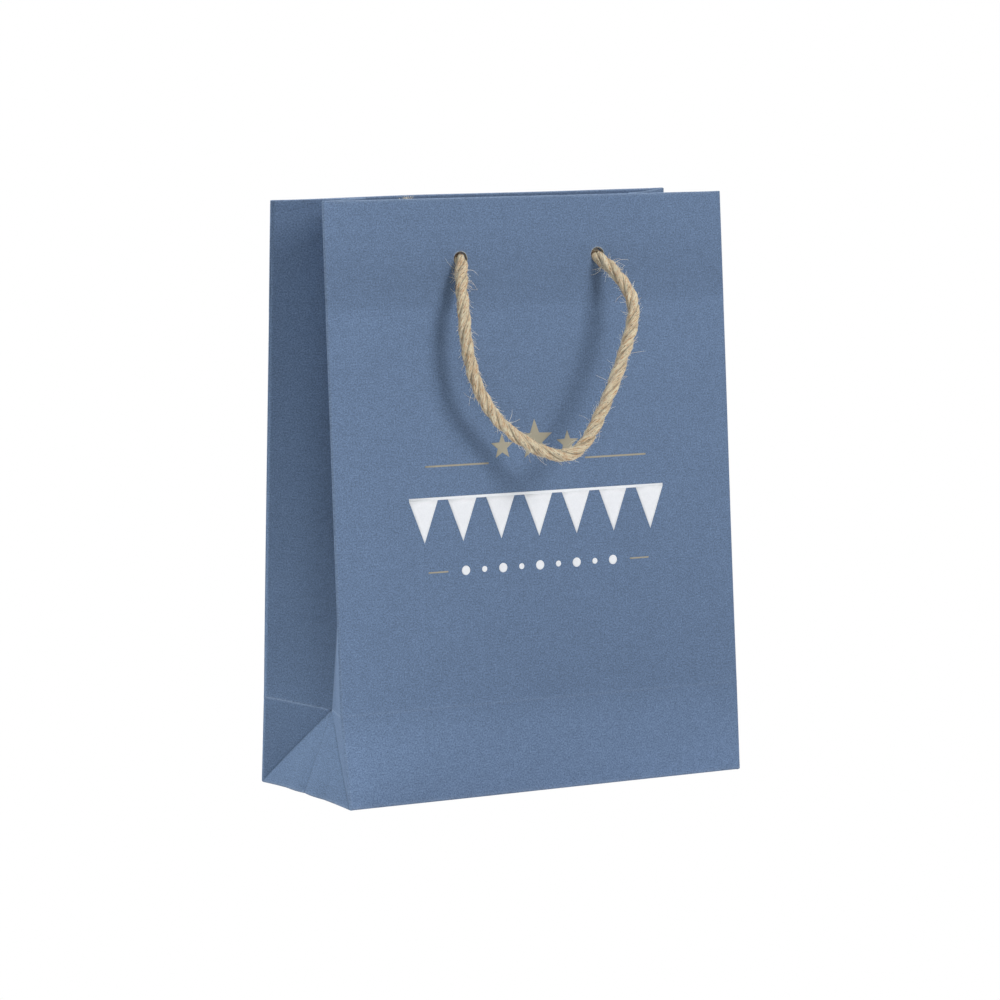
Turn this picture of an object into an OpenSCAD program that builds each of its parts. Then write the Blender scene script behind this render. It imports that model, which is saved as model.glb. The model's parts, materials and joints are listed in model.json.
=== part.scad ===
// Paper gift bag standing open: block bottom, side gussets folded inward, a turned-in mouth with
// reinforcement cards, and a twisted rope handle knotted inside the front and the rear panel.
// Millimetres, +Z up, front panel towards -Y, origin on the ground at the centre of the base.

/* [Bag] */
// Width of the front and rear panels
bag_w = 185; // [150:1:260]
// Depth of the base, which is also the flat width of a side gusset
bag_d = 74; // [66:1:90]
// Length of a panel from the base edge to the mouth
bag_h = 240; // [200:1:340]
// Thickness of the bag paper
paper_t = 0.4; // [0.3:0.05:0.6]

/* [Stance] */
// Inward lean of the strips between the base and the horizontal crease, in degrees
lower_lean = 5; // [2:0.5:6]
// Inward lean of the panels above the horizontal crease, in degrees
upper_lean = 3.25; // [2.5:0.25:3.5]
// How far the gusset's crease meeting point is pushed in
apex_in = 12.5; // [10:0.5:14]

/* [Mouth] */
// Depth of the turned-in paper at the mouth
turn_in_h = 44; // [38:1:50]
// Height of the reinforcement cards
card_h = 42; // [34:1:42]
// Thickness of the reinforcement cards
card_t = 1; // [0.6:0.1:1.4]
// Distance of the turned-in paper and the cards from the panel's side edges
card_inset = 6; // [6:0.5:10]

/* [Base] */
// Thickness of the loose base board
board_t = 1.2; // [0.8:0.1:2]
// How far the two long base flaps pass the middle of the base
flap_overlap = 9; // [5:1:14]

/* [Handles] */
// Diameter of the rope
rope_d = 5; // [4:0.5:5.5]
// Distance between the two holes of a handle
hole_span = 64; // [50:1:90]
// Radius of a handle hole
hole_r = 3.1; // [2.9:0.1:3.4]
// Distance of the hole centres below the mouth edge
hole_drop = 24.5; // [20:0.5:28]

/* [Hidden] */
$fn = 48;

paper_colour = [0.41, 0.49, 0.61];
gusset_colour = [0.36, 0.44, 0.55];
card_colour = [0.70, 0.66, 0.58];
board_colour = [0.62, 0.60, 0.57];
rope_colour = [0.78, 0.68, 0.50];

gap = 0.3;                                   // running clearance between moving pieces
seam = 0.1;                                  // clearance between facets of the same sheet
half_w = bag_w / 2;
half_d = bag_d / 2;
rope_r = rope_d / 2;

// The strips stand on the base edge and reach the horizontal crease at half the base depth.
crease_y = half_d - half_d * sin(lower_lean);
crease_z = half_d * cos(lower_lean);
upper_len = bag_h - half_d;
mouth_y = crease_y - upper_len * sin(upper_lean);
mouth_z = crease_z + upper_len * cos(upper_lean);

// The gusset keeps its flat width, so its centre crease moves in as the panels come together.
apex = [-(half_w - apex_in), 0, sqrt(half_d * half_d - apex_in * apex_in)];
mouth_in = sqrt(half_d * half_d - mouth_y * mouth_y);
mouth_mid = [-(half_w - mouth_in), 0, mouth_z];

// Base layers, from the ground up
flap_rear_z = 0;
flap_front_z = paper_t;
tuck_z = 2 * paper_t;
board_z = 3 * paper_t;

// Layers at the mouth, measured inward from the middle of the panel's thickness
card_y = paper_t / 2;
turn_in_y = card_y + card_t;
inner_y = turn_in_y + paper_t;
hole_z = upper_len - hole_drop;

// Rope: straight neck through the hole, then a loop that swings about the end of the neck
pivot_out = 6.5;
neck_gap = 0.5;
knot_len = 8.6;

// The loop from its left pivot to its right one, measured from the bag's centre line, from the
// holes' centres on the outer face, outward being negative, and up. The right side stands out more.
LOOP = [
    [-32, -6.5, 0.4], [-35, -8.5, -5.5], [-37, -10.5, -12], [-38, -12.5, -19], [-38.5, -14.5, -29],
    [-37.5, -16, -39], [-35, -17, -48.5], [-31, -17.5, -56.5], [-26, -17.5, -63], [-20.5, -18, -68],
    [-15.5, -20, -72], [-10.5, -23.5, -75.5], [-5.5, -27.5, -77.5], [-0.5, -31, -77.5],
    [4, -32, -75], [8.5, -32, -70], [13.5, -31, -63], [18.5, -30, -55], [23.5, -28.5, -46.5],
    [28, -27, -37.5], [32, -25.5, -29], [34.5, -23.5, -21], [35.5, -20, -14], [34.5, -16, -8.5],
    [33.5, -11, -3.5], [32, -6.5, 0.4]
];

function unit(v) = v / norm(v);

// Corners of a flat polygon moved inward by k from each of its edges
function inset(p, k) = [
    for (i = [0:len(p) - 1])
        let (
            a = unit(p[(i + len(p) - 1) % len(p)] - p[i]),
            b = unit(p[(i + 1) % len(p)] - p[i])
        )
        p[i] + (a + b) * k / norm(cross(a, b))
];

// A flat plate from its outer corners, thickened by t away from the outside
module plate(corners, t) {
    p = inset(corners, seam);
    n = len(p);
    down = -t * unit(cross(p[1] - p[0], p[2] - p[0]));
    top = [for (q = p) q];
    bottom = [for (q = p) q + down];
    polyhedron(
        points = concat(top, bottom),
        faces = concat(
            [[for (i = [n - 1:-1:0]) i]],
            [[for (i = [0:n - 1]) i + n]],
            [for (i = [0:n - 1]) [i, (i + 1) % n, (i + 1) % n + n, i + n]]
        )
    );
}

// A sheet ruled between two lines, both running upward, thickened by t along the given direction
module ruled_sheet(a0, a1, b0, b1, t, dir, rows) {
    d = t * unit(dir);
    function at(k, side) = let (f = k / rows) side == 0 ? a0 + (a1 - a0) * f : b0 + (b1 - b0) * f;
    outer = [for (k = [0:rows]) for (s = [0, 1]) at(k, s)];
    inner = [for (q = outer) q + d];
    m = len(outer);
    polyhedron(
        points = concat(outer, inner),
        faces = concat(
            [for (k = [0:rows - 1]) [2 * k, 2 * k + 1, 2 * k + 3]],
            [for (k = [0:rows - 1]) [2 * k, 2 * k + 3, 2 * k + 2]],
            [for (k = [0:rows - 1]) [m + 2 * k, m + 2 * k + 3, m + 2 * k + 1]],
            [for (k = [0:rows - 1]) [m + 2 * k, m + 2 * k + 2, m + 2 * k + 3]],
            [for (k = [0:rows - 1]) [2 * k, 2 * k + 2, m + 2 * k + 2]],
            [for (k = [0:rows - 1]) [2 * k, m + 2 * k + 2, m + 2 * k]],
            [for (k = [0:rows - 1]) [2 * k + 1, m + 2 * k + 1, m + 2 * k + 3]],
            [for (k = [0:rows - 1]) [2 * k + 1, m + 2 * k + 3, 2 * k + 3]],
            [[0, m, m + 1], [0, m + 1, 1]],
            [[2 * rows, 2 * rows + 1, m + 2 * rows + 1], [2 * rows, m + 2 * rows + 1, m + 2 * rows]]
        )
    );
}

// A round tube swept along a route, with rounded ends
module tube(route, r, sides = 10) {
    n = len(route);
    function along(i) = unit(route[min(i + 1, n - 1)] - route[max(i - 1, 0)]);
    // each ring: centre, direction, radius
    start = [for (a = [80, 50, 25]) [route[0] - along(0) * r * sin(a), along(0), r * cos(a)]];
    middle = [for (i = [0:n - 1]) [route[i], along(i), r]];
    finish = [for (a = [25, 50, 80]) [route[n - 1] + along(n - 1) * r * sin(a), along(n - 1), r * cos(a)]];
    rings = concat(start, middle, finish);
    m = len(rings);
    points = [
        for (ring = rings)
            let (u = unit(cross(ring[1], [0, 1, 0.2])), v = cross(ring[1], u))
            for (k = [0:sides - 1]) ring[0] + ring[2] * (cos(360 * k / sides) * u + sin(360 * k / sides) * v)
    ];
    polyhedron(
        points = points,
        faces = concat(
            [[for (k = [sides - 1:-1:0]) k]],
            [[for (k = [0:sides - 1]) (m - 1) * sides + k]],
            [
                for (j = [0:m - 2]) for (k = [0:sides - 1])
                    [j * sides + k, j * sides + (k + 1) % sides, (j + 1) * sides + (k + 1) % sides, (j + 1) * sides + k]
            ]
        ),
        convexity = 4
    );
}

module rear() {
    mirror([0, 1, 0]) children();
}

module right() {
    mirror([1, 0, 0]) children();
}

// ---- base ----

// Long flap folded under the base, with mitred ends
module long_flap(z) {
    edge = half_d - paper_t - seam;
    w = half_w - 2 * paper_t;
    mitre = w - half_d;
    translate([0, 0, z])
        linear_extrude(paper_t)
            polygon([[-w, -edge], [w, -edge], [mitre, flap_overlap], [-mitre, flap_overlap]]);
}

module base_flap_front() {
    color(paper_colour) long_flap(flap_front_z);
}

module base_flap_rear() {
    color(paper_colour) rear() long_flap(flap_rear_z);
}

// Short flap tucked in at each end of the base, under the board
module short_tuck() {
    edge = half_d - paper_t - seam;
    w = half_w - 3 * paper_t;
    translate([0, 0, tuck_z])
        linear_extrude(paper_t)
            polygon([[-w, -edge], [-w + half_d, -6], [-w + half_d, 6], [-w, edge]]);
}

module base_tuck_left() {
    color(gusset_colour) short_tuck();
}

module base_tuck_right() {
    color(gusset_colour) right() short_tuck();
}

// Loose stiffening board lying on the base
module base_board() {
    color(board_colour)
        translate([-(half_w - 3), -(half_d - 2), board_z])
            cube([bag_w - 6, bag_d - 4, board_t]);
}

// ---- strips and facets below the horizontal crease ----

module lower_strip() {
    translate([0, -half_d, paper_t * sin(lower_lean)])
        rotate([-lower_lean, 0, 0])
            translate([-half_w, 0, 0])
                cube([bag_w, paper_t, half_d - paper_t / 2 - gap]);
}

module front_lower_strip() {
    color(paper_colour) lower_strip();
}

module rear_lower_strip() {
    color(paper_colour) rear() lower_strip();
}

// Corners of the left gusset below the crease: on the base edge and on the panel's side edge
base_corner = [-half_w, -(half_d - paper_t - seam), paper_t / 2];
crease_corner = [-half_w, -(crease_y - paper_t - gap), crease_z];
function flip_y(p) = [p[0], -p[1], p[2]];

module bottom_triangle() {
    plate([base_corner, apex, flip_y(base_corner)], paper_t);
}

module lower_facet() {
    plate([base_corner, crease_corner, apex], paper_t);
}

module left_bottom_triangle() {
    color(gusset_colour) bottom_triangle();
}

module right_bottom_triangle() {
    color(gusset_colour) right() bottom_triangle();
}

module left_lower_front_facet() {
    color(gusset_colour) lower_facet();
}

module left_lower_rear_facet() {
    color(gusset_colour) rear() lower_facet();
}

module right_lower_front_facet() {
    color(gusset_colour) right() lower_facet();
}

module right_lower_rear_facet() {
    color(gusset_colour) right() rear() lower_facet();
}

// ---- upper gussets ----

// Front half of the left gusset, at the mouth: the way into the bag, and the way to its centre crease
gusset_dir = unit([mouth_y, -mouth_in, 0]);
gusset_run = unit([mouth_in, mouth_y, 0]);
side_low = [-half_w, -(crease_y - 2 * paper_t - gap), crease_z + 2 * seam];
side_high = [-half_w, -(mouth_y - 2 * paper_t - gap), mouth_z];
mid_low = apex - 2 * seam * gusset_run + [0, 0, 2 * seam];
mid_high = mouth_mid - 2 * seam * gusset_run;

// Point on a line between a and b at the share f
function between(a, b, f) = a + (b - a) * f;

module gusset_half() {
    ruled_sheet(side_low, side_high, mid_low, mid_high, paper_t, gusset_dir, 20);
}

// Turned-in paper on the inner face of the gusset half
module gusset_turn_in() {
    f = 1 - turn_in_h / upper_len;
    side_step = (paper_t + gap) * gusset_dir + 3 * gusset_run;
    mid_step = (paper_t + gap) * gusset_dir + gap * gusset_run;
    ruled_sheet(
        between(side_low, side_high, f) + side_step, side_high + side_step,
        between(mid_low, mid_high, f) + mid_step, mid_high + mid_step,
        paper_t, gusset_dir, 5
    );
}

module left_gusset_front() {
    color(gusset_colour) gusset_half();
}

module left_gusset_rear() {
    color(gusset_colour) rear() gusset_half();
}

module right_gusset_front() {
    color(gusset_colour) right() gusset_half();
}

module right_gusset_rear() {
    color(gusset_colour) right() rear() gusset_half();
}

module left_turn_in_front() {
    color(paper_colour) gusset_turn_in();
}

module left_turn_in_rear() {
    color(paper_colour) rear() gusset_turn_in();
}

module right_turn_in_front() {
    color(paper_colour) right() gusset_turn_in();
}

module right_turn_in_rear() {
    color(paper_colour) right() rear() gusset_turn_in();
}

// ---- panels above the horizontal crease ----

// Frame of the leaning front panel: origin on its hinge line, local Y inward, local Z up the panel
module on_panel() {
    translate([0, -crease_y + paper_t / 2, crease_z])
        rotate([-upper_lean, 0, 0])
            children();
}

// Two round holes along local Y, from y = -1 inward
module handle_holes() {
    for (x = [-hole_span / 2, hole_span / 2])
        translate([x, -1, hole_z])
            rotate([-90, 0, 0])
                cylinder(r = hole_r, h = 5);
}

module panel() {
    on_panel() difference() {
        union() {
            translate([-half_w, -paper_t / 2, 0]) cube([bag_w, paper_t, upper_len]);
            translate([-half_w, 0, 0]) rotate([0, 90, 0]) cylinder(d = paper_t, h = bag_w);
        }
        handle_holes();
    }
}

module turn_in() {
    w = bag_w - 2 * card_inset;
    on_panel() difference() {
        union() {
            translate([-w / 2, turn_in_y, upper_len - turn_in_h]) cube([w, paper_t, turn_in_h]);
            translate([-w / 2, card_y, upper_len - paper_t]) cube([w, inner_y - card_y, paper_t]);
        }
        handle_holes();
    }
}

module card() {
    w = bag_w - 2 * card_inset;
    on_panel() difference() {
        translate([-w / 2, card_y, upper_len - paper_t - card_h]) cube([w, card_t, card_h]);
        handle_holes();
    }
}

module front_panel() {
    color(paper_colour) panel();
}

module rear_panel() {
    color(paper_colour) rear() panel();
}

module front_turn_in() {
    color(paper_colour) turn_in();
}

module rear_turn_in() {
    color(paper_colour) rear() turn_in();
}

module front_card() {
    color(card_colour) card();
}

module rear_card() {
    color(card_colour) rear() card();
}

// Glued strip that closes the tube of the bag, inside the rear panel along its left edge
module side_seam_flap() {
    color(paper_colour)
        rear() on_panel()
            translate([-half_w + 3.5, paper_t / 2, 6])
                cube([12, paper_t, upper_len - turn_in_h - 8]);
}

// ---- rope handles ----

// Straight end of the rope, from the knot through the hole, with a rounded end facing the loop
module neck(x) {
    out = paper_t / 2 + pivot_out - rope_d - neck_gap;
    on_panel()
        translate([x, -out, hole_z])
            rotate([-90, 0, 0]) {
                sphere(d = rope_d);
                cylinder(d = rope_d, h = out + inner_y);
            }
}

// Overhand knot resting on the inner face, with its cut tail pointing up or down
module knot(x, tail_up) {
    on_panel()
        translate([x, inner_y, hole_z])
            rotate([-90, 0, 0]) {
                rotate_extrude() {
                    translate([3.3, 2.6]) circle(r = 2.6);
                    translate([2.6, 6.2]) circle(r = 2.4);
                    square([3.3, 7]);
                    translate([0, 5]) square([2.6, knot_len - 5]);
                }
                translate([0, 0, 5])
                    rotate([tail_up ? 96 : -96, 0, tail_up ? 12 : -18])
                        cylinder(d = rope_d - 0.6, h = tail_up ? 21 : 15);
            }
}

// The loop outside the panel, as it hangs
module loop() {
    face = [0, -crease_y + hole_z * sin(upper_lean), crease_z + hole_z * cos(upper_lean)];
    tube([for (p = LOOP) face + [p[0] * hole_span / 64, p[1], p[2]]], rope_r);
}

module front_neck_left() {
    color(rope_colour) neck(-hole_span / 2);
}

module front_neck_right() {
    color(rope_colour) neck(hole_span / 2);
}

module rear_neck_left() {
    color(rope_colour) rear() neck(-hole_span / 2);
}

module rear_neck_right() {
    color(rope_colour) rear() neck(hole_span / 2);
}

module front_knot_left() {
    color(rope_colour) knot(-hole_span / 2, false);
}

module front_knot_right() {
    color(rope_colour) knot(hole_span / 2, false);
}

module rear_knot_left() {
    color(rope_colour) rear() knot(-hole_span / 2, true);
}

module rear_knot_right() {
    color(rope_colour) rear() knot(hole_span / 2, false);
}

module front_rope() {
    color(rope_colour) loop();
}

module rear_rope() {
    color(rope_colour) rear() loop();
}

base_flap_front();
base_flap_rear();
base_tuck_left();
base_tuck_right();
base_board();
front_lower_strip();
rear_lower_strip();
left_bottom_triangle();
left_lower_front_facet();
left_lower_rear_facet();
right_bottom_triangle();
right_lower_front_facet();
right_lower_rear_facet();
left_gusset_front();
left_gusset_rear();
right_gusset_front();
right_gusset_rear();
left_turn_in_front();
left_turn_in_rear();
right_turn_in_front();
right_turn_in_rear();
front_panel();
front_turn_in();
front_card();
front_neck_left();
front_neck_right();
front_knot_left();
front_knot_right();
rear_panel();
rear_turn_in();
rear_card();
side_seam_flap();
rear_neck_left();
rear_neck_right();
rear_knot_left();
rear_knot_right();
front_rope();
rear_rope();
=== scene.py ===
"""Looks of a paper gift bag with jute rope handles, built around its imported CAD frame.

Lengths are in millimetres until a mesh is made, and the front panel faces -Y.
"""

import json
import math

import bpy
import numpy as np
from mathutils import Matrix, Vector


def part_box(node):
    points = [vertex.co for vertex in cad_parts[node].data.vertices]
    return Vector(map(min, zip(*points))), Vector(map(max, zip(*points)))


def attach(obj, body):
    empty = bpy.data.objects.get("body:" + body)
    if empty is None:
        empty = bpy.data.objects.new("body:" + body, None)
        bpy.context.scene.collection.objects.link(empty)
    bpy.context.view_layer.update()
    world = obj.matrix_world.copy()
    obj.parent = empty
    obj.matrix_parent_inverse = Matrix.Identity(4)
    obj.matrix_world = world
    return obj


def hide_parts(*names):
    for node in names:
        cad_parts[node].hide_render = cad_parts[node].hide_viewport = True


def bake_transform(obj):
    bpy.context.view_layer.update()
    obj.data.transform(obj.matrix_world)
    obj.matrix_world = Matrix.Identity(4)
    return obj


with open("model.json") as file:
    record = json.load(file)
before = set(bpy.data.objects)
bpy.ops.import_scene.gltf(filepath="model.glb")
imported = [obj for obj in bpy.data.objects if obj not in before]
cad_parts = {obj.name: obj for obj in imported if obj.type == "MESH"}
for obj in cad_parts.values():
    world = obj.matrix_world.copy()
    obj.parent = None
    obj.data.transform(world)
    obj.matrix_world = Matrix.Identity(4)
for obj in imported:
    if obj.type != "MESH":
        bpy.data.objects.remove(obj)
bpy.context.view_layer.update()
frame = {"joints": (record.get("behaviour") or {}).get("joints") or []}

MM = 0.001


def joint_place(name):
    """Position of a joint's axis, in millimetres."""
    joint = next(j for j in frame["joints"] if j["name"] == name)
    return np.array(joint["pos_m"]) / MM


def node_box(name):
    """Lowest and highest corner of a CAD node, in millimetres."""
    low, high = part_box(name)
    return np.array(low) / MM, np.array(high) / MM


# ---------- Sizes, from the frame ----------

PAPER = 0.3  # thickness of the bag paper
PANEL_LEAN = math.radians(3.25)
STRIP_LEAN = math.radians(5)
HALF_W = node_box("front_panel")[1][0]
HALF_D = -node_box("front_lower_strip")[0][1]
CREASE_Y, CREASE_Z = joint_place("front_panel_lean")[1:]
PANEL_LEN = (node_box("front_panel")[1][2] - CREASE_Z) / math.cos(PANEL_LEAN)
MOUTH_Y = CREASE_Y + PANEL_LEN * math.sin(PANEL_LEAN)
MOUTH_Z = CREASE_Z + PANEL_LEN * math.cos(PANEL_LEAN)
APEX_IN = 13.1  # the gusset's crease point, in from the side
APEX = np.array([-(HALF_W - APEX_IN), 0, math.sqrt(HALF_D**2 - APEX_IN**2)])
MOUTH_IN = math.sqrt(HALF_D**2 - MOUTH_Y**2)
MOUTH_MID = np.array([-(HALF_W - MOUTH_IN), 0, MOUTH_Z])

TOP = PANEL_LEN - PAPER / 2  # middle of the paper at the folded mouth edge
CARD_GAP = 1.4  # from the panel to its turned-in layer
CORNER_GAP = 0.4  # the same at the corners, where no card lies
GUSSET_GAP = 0.75
TURN_IN = 43.6
TURN_EDGE = TOP - TURN_IN  # where the turned-in paper ends, up the panel
CARD_EDGE = node_box("front_card")[1][0]

HOLE_X = 32.0
HOLE_V = 178.5  # up the panel from the crease
HOLE_R = 3.1
HOLE_SQUARE = 6.0  # half of the square of cells round a hole

ROPE_R = 2.5
PITCH = 25.0  # length of one turn of a strand
FACE = np.array([0, -23.655, 215.072])  # between the holes, on the outer face

# The front loop from hole to hole, from FACE, outward being negative. Its ends hug the holes more
# closely than the CAD route, whose pivots stand 6.5 mm out.
LOOP = [
    [-32.9, -2.1, -2.0], [-34.2, -4.3, -5.0], [-35.5, -6.6, -8.6], [-36.9, -9.3, -13],
    [-38, -12.5, -19], [-38.5, -14.5, -29],
    [-37.5, -16, -39], [-35, -17, -48.5], [-31, -17.5, -56.5], [-26, -17.5, -63], [-20.5, -18, -68],
    [-15.5, -20, -72], [-10.5, -23.5, -75.5], [-5.5, -27.5, -77.5], [-0.5, -31, -77.5],
    [4, -32, -75], [8.5, -32, -70], [13.5, -31, -63], [18.5, -30, -55], [23.5, -28.5, -46.5],
    [28, -27, -37.5], [32, -25.5, -29], [34.5, -23.5, -21.5], [35.3, -20, -15.8], [34.6, -16, -11.2],
    [33.8, -11.6, -7.4], [32.9, -7.4, -4.4], [32.1, -3.0, -2.0],
]


# ---------- Camera ----------


def add_camera():
    """The photograph's view: from the left and slightly above, through a long lens."""
    yaw, pitch, roll = map(math.radians, (30.384, 5.796, -0.396))
    level = Vector((math.cos(yaw), -math.sin(yaw), 0))
    ahead = Vector(
        (math.sin(yaw) * math.cos(pitch), math.cos(yaw) * math.cos(pitch), -math.sin(pitch))
    )
    above = level.cross(ahead)
    right = level * math.cos(roll) + above * math.sin(roll)
    up = -level * math.sin(roll) + above * math.cos(roll)
    data = bpy.data.cameras.new("camera")
    data.sensor_width = 36
    data.lens = 158.9
    data.clip_start = 0.05
    camera = bpy.data.objects.new("camera", data)
    camera.matrix_world = Matrix((right, up, -ahead)).transposed().to_4x4()
    camera.location = (-0.90923, -1.54947, 0.29713)
    bpy.context.scene.collection.objects.link(camera)
    bpy.context.scene.camera = camera


add_camera()


# ---------- Mesh and material helpers ----------


def new_piece(name, points, faces, **attributes):
    """A mesh object from points in millimetres. Attributes hold one number or vector a point."""
    points = np.asarray(points, float)
    used = sorted({i for f in faces for i in f})
    place = {old: new for new, old in enumerate(used)}
    mesh = bpy.data.meshes.new(name)
    mesh.from_pydata((points[used] * MM).tolist(), [], [[place[i] for i in f] for f in faces])
    for key, values in attributes.items():
        values = np.asarray(values, np.float32)[used]
        kind, field = ("FLOAT", "value") if values.ndim == 1 else ("FLOAT_VECTOR", "vector")
        mesh.attributes.new(key, kind, "POINT").data.foreach_set(field, values.ravel())
    mesh.polygons.foreach_set("use_smooth", [True] * len(mesh.polygons))
    piece = bpy.data.objects.new(name, mesh)
    bpy.context.scene.collection.objects.link(piece)
    return piece


def thicken(piece, thickness, outside, inside=None):
    """Gives a sheet its thickness and its two faces' materials."""
    piece.data.materials.append(outside)
    piece.data.materials.append(inside or outside)
    solid = piece.modifiers.new("thickness", "SOLIDIFY")
    solid.thickness = thickness * MM
    solid.offset = 0
    solid.material_offset = 1
    solid.use_even_offset = False


def mirrored(points, flip_x, flip_y):
    """Points moved over to the right half, or to the rear half, by mirroring."""
    return np.asarray(points, float) * [-1 if flip_x else 1, -1 if flip_y else 1, 1]


def turned(faces, flip):
    """Faces with their order turned round, so that a mirrored sheet keeps its outer side outside."""
    return [tuple(reversed(f)) for f in faces] if flip else faces


def grid_faces(wide, high, left_out=()):
    """Faces between the points of a grid that was filled row by row."""
    return [
        (j * wide + i, j * wide + i + 1, (j + 1) * wide + i + 1, (j + 1) * wide + i)
        for j in range(high - 1) for i in range(wide - 1) if (i, j) not in left_out
    ]


def ring_faces(outer, inner):
    """Faces all round between two closed rings of points."""
    pairs = list(zip(outer, inner))
    return [(a, b, d, c) for (a, c), (b, d) in zip(pairs, pairs[1:] + pairs[:1])]


def step_between(low, high, values):
    """0 below low, 1 above high, smooth between."""
    t = np.clip((np.asarray(values, float) - low) / (high - low), 0, 1)
    return t * t * (3 - 2 * t)


def band(off, width):
    """1 in the middle of a band, and next to nothing two widths off it."""
    return np.exp(-((off / width) ** 2))


def unit(vector):
    """A vector one long in the same direction."""
    return vector / np.linalg.norm(vector)


class Shader:
    """Short words for building a node material."""

    def __init__(self, name, roughness=0.9, specular=0.25):
        self.material = bpy.data.materials.new(name)
        self.material.use_nodes = True
        self.tree = self.material.node_tree
        self.surface = self.tree.nodes["Principled BSDF"]
        self.surface.inputs["Roughness"].default_value = roughness
        self.surface.inputs["Specular IOR Level"].default_value = specular

    def node(self, kind, inputs=(), **settings):
        node = self.tree.nodes.new(kind)
        for key, value in settings.items():
            setattr(node, key, value)
        for key, value in dict(inputs).items():
            self.put(node.inputs[key], value)
        return node

    def put(self, socket, value):
        if isinstance(value, bpy.types.NodeSocket):
            self.tree.links.new(value, socket)
        elif socket.type == "VECTOR":
            socket.default_value = tuple(value)[:3]
        else:
            socket.default_value = value

    def attribute(self, name, vector=False):
        node = self.node("ShaderNodeAttribute", attribute_name=name)
        return node.outputs["Vector" if vector else "Fac"]

    def scaled(self, vector, scale):
        return self.node("ShaderNodeVectorMath", {0: vector, 1: scale}, operation="MULTIPLY").outputs[0]

    def noise(self, vector, scale, detail=2.0, roughness=0.5):
        return self.node(
            "ShaderNodeTexNoise",
            {"Vector": vector, "Scale": scale, "Detail": detail, "Roughness": roughness},
        ).outputs["Fac"]

    def math(self, operation, a, b, clamp=False):
        return self.node("ShaderNodeMath", {0: a, 1: b}, operation=operation, use_clamp=clamp).outputs[0]

    def remap(self, value, low, high, to_low=0.0, to_high=1.0):
        return self.node(
            "ShaderNodeMapRange",
            {"Value": value, "From Min": low, "From Max": high, "To Min": to_low, "To Max": to_high},
        ).outputs["Result"]

    def vary(self, noise, amount, low=0.3, high=0.7):
        """A factor that follows a noise and stays within the amount of 1."""
        return self.remap(noise, low, high, 1 - amount, 1 + amount)

    def mix(self, share, a, b):
        node = self.node("ShaderNodeMix", {"Factor": share, "A": a, "B": b}, data_type="RGBA")
        return node.outputs["Result"]

    def times(self, colour, value):
        """The colour made lighter or darker by a number."""
        inputs = {0: colour, "Scale": value}
        return self.node("ShaderNodeVectorMath", inputs, operation="SCALE").outputs[0]

    def finish(self, colour, height=None, depth=0.05, roughness=None):
        """The material in its colour, with relief that is depth millimetres high."""
        self.put(self.surface.inputs["Base Color"], colour)
        if height is not None:
            bump = self.node(
                "ShaderNodeBump", {"Strength": 1.0, "Distance": depth * MM, "Height": height}
            )
            self.put(self.surface.inputs["Normal"], bump.outputs["Normal"])
        if roughness is not None:
            self.put(self.surface.inputs["Roughness"], roughness)
        return self.material


def linear(red, green, blue):
    """A colour given by its sRGB numbers, 0 to 255, as the shader's own linear colour."""
    def one(c):
        c = c / 255
        return c / 12.92 if c <= 0.04045 else ((c + 0.055) / 1.055) ** 2.4

    return (one(red), one(green), one(blue), 1.0)


# ---------- Materials ----------

SHADE_DEPTH = 0.38  # how much darker the shade attribute makes paper


def paper_material(name, colour, worn_and_lit_colour, grain=0.28):
    """Matt uncoated paper: fine grain, cloudy mottling, pale rubbed creases and a pale core where cut,
    with a painted highlight on the holes' upper rims and painted shade and painted light from the shade
    attribute.
    """
    s = Shader(name, roughness=0.88, specular=0.22)
    flat = s.attribute("flat", vector=True)
    fine = s.noise(flat, 1.65, detail=3.0, roughness=0.75)
    felt = s.noise(s.scaled(flat, (1.0, 1.7, 1.0)), 0.75, detail=3.0, roughness=0.6)
    cloud = s.noise(flat, 0.055, detail=2.0)
    mottle = s.noise(flat, 0.3, detail=2.0, roughness=0.7)
    fibres = s.noise(s.scaled(flat, (0.5, 3.0, 1.0)), 1.3, detail=2.0)
    tone = s.vary(fine, grain, 0.36, 0.64)
    for noise, amount in ((felt, 0.3 * grain), (cloud, 0.025), (mottle, 0.25 * grain), (fibres, 0.015)):
        tone = s.math("MULTIPLY", tone, s.vary(noise, amount))
    base = s.times(colour, tone)
    # the pale colour is real wear on creases and edges, and a painted highlight on the holes' upper rims
    rubbed = s.math("MULTIPLY", s.attribute("wear"), s.remap(felt, 0.35, 0.6, 0.25, 1.0), clamp=True)
    base = s.mix(rubbed, base, worn_and_lit_colour)
    # painted shade where the shade attribute is above 0, painted light where it is below 0
    shade = s.math("MULTIPLY", s.attribute("shade"), SHADE_DEPTH)
    base = s.times(base, s.math("SUBTRACT", 1.0, shade))
    base = s.mix(s.attribute("cut"), base, linear(214, 217, 219))
    height = s.math("ADD", s.math("MULTIPLY", fine, 0.5), felt)
    return s.finish(base, height, depth=0.03, roughness=s.remap(felt, 0.3, 0.7, 0.82, 0.93))


def board_material(name, colour, fleck):
    """Board made from pulp: soft mottling with darker flecks."""
    s = Shader(name, roughness=0.9, specular=0.2)
    flat = s.attribute("flat", vector=True)
    pulp = s.noise(flat, 0.5, detail=4.0, roughness=0.65)
    specks = s.noise(flat, 1.6, detail=1.0)
    base = s.times(colour, s.remap(pulp, 0.3, 0.7, 0.9, 1.08))
    base = s.mix(s.remap(specks, 0.66, 0.72, 0.0, 0.5), base, fleck)
    return s.finish(base, pulp, depth=0.12, roughness=s.remap(pulp, 0.3, 0.7, 0.85, 0.95))


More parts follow.
